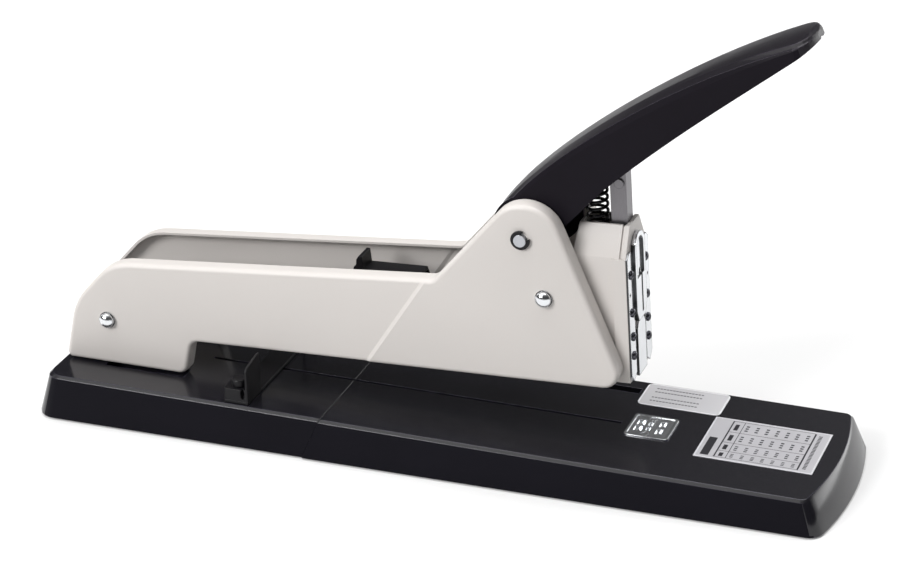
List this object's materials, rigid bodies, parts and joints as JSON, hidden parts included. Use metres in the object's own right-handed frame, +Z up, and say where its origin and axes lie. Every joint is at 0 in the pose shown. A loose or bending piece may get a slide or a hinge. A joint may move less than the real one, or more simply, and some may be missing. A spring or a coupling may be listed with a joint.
{
  "type": "stapler",
  "caption": "Heavy-duty long-reach desk stapler: black base with anvil and paper guide, pale sheet-steel arm, driving head and long black lever.",
  "frame": {"origin": "middle of the base's footprint, on the surface it stands on", "axes": "+X towards the driving head and the front of the base, +Y to the stapler's left as it faces forward, +Z up"},
  "size_m": [0.4528, 0.105, 0.2521],
  "materials": {
    "base_shell": "semi-gloss black moulding",
    "feet": "black rubber",
    "zinc_steel": "zinc-plated steel",
    "mag_steel": "bright sheet steel",
    "anvil": "polished plate",
    "label": "satin silver foil label",
    "black_plastic": "satin black moulding",
    "cream_paint": "warm light-grey semi-gloss paint",
    "bright_chrome": "bright chrome",
    "black_steel": "blackened spring steel",
    "lever_black": "smooth black lever"
  },
  "bodies": {
    "base": {"base_front": "base_shell", "base_rear": "base_shell", "rubber_feet": "feet", "foot_screws": "zinc_steel", "hinge_bracket": "zinc_steel", "bracket_screws": "zinc_steel", "anvil_plate": "anvil", "anvil_screws": "anvil", "scale_label": "label", "notice_label": "label", "lift_spring": "zinc_steel"},
    "guide": {"paper_guide": "black_plastic"},
    "knob": {"guide_knob": "black_plastic"},
    "arm": {"side_plate_near": "cream_paint", "side_plate_far": "cream_paint", "rear_pivot_bolt": "zinc_steel", "rear_spacers": "zinc_steel", "rear_dome_nuts": "bright_chrome", "front_bolt": "zinc_steel", "front_dome_nuts": "bright_chrome", "magazine_channel": "mag_steel", "magazine_core": "mag_steel", "core_rivets": "zinc_steel", "follower_spring": "zinc_steel", "head_housing": "cream_paint", "face_strip_near": "bright_chrome", "face_strip_far": "bright_chrome", "face_guide_bar": "bright_chrome", "face_screws": "bright_chrome", "return_spring": "black_steel", "lever_shaft": "zinc_steel", "shaft_clips": "black_steel"},
    "follower": {"staple_follower": "black_plastic"},
    "driver": {"plunger": "zinc_steel", "driver_blade": "mag_steel", "blade_rivet": "zinc_steel"},
    "lever": {"lever": "lever_black"}
  },
  "joints": [
    {"name": "arm_hinge", "type": "hinge", "parent": "base", "child": "arm", "pos_m": [-0.1881, 0, 0.0538], "axis": [0, 1, 0], "range_deg": [0, 6], "stiffness_Nm_per_rad": 12, "springref_deg": -14.32},
    {"name": "lever_hinge", "type": "hinge", "parent": "arm", "child": "lever", "pos_m": [0.05637, 0, 0.13415], "axis": [0, 1, 0], "range_deg": [0, 28], "stiffness_Nm_per_rad": 2, "springref_deg": -22.92},
    {"name": "driver_slide", "type": "slide", "parent": "arm", "child": "driver", "axis": [0.0332, 0, -0.9995], "range_m": [0, 0.0268], "deforming": ["return_spring"]},
    {"name": "follower_slide", "type": "slide", "parent": "arm", "child": "follower", "axis": [0.9995, 0, 0.0332], "range_m": [-0.08, 0], "stiffness_N_per_m": 40, "springref_m": 0.05},
    {"name": "guide_slide", "type": "slide", "parent": "base", "child": "guide", "axis": [0.9999, 0, -0.014], "range_m": [-0.02, 0.12]},
    {"name": "knob_turn", "type": "hinge", "parent": "guide", "child": "knob", "pos_m": [-0.10301, -0.04, 0.0315], "axis": [0.014, 0, 0.9999], "range_deg": [-180, 180]}
  ],
  "couplings": [
    {"joint": "driver_slide", "follows": "lever_hinge", "m_per_rad": 0.054431}
  ]
}
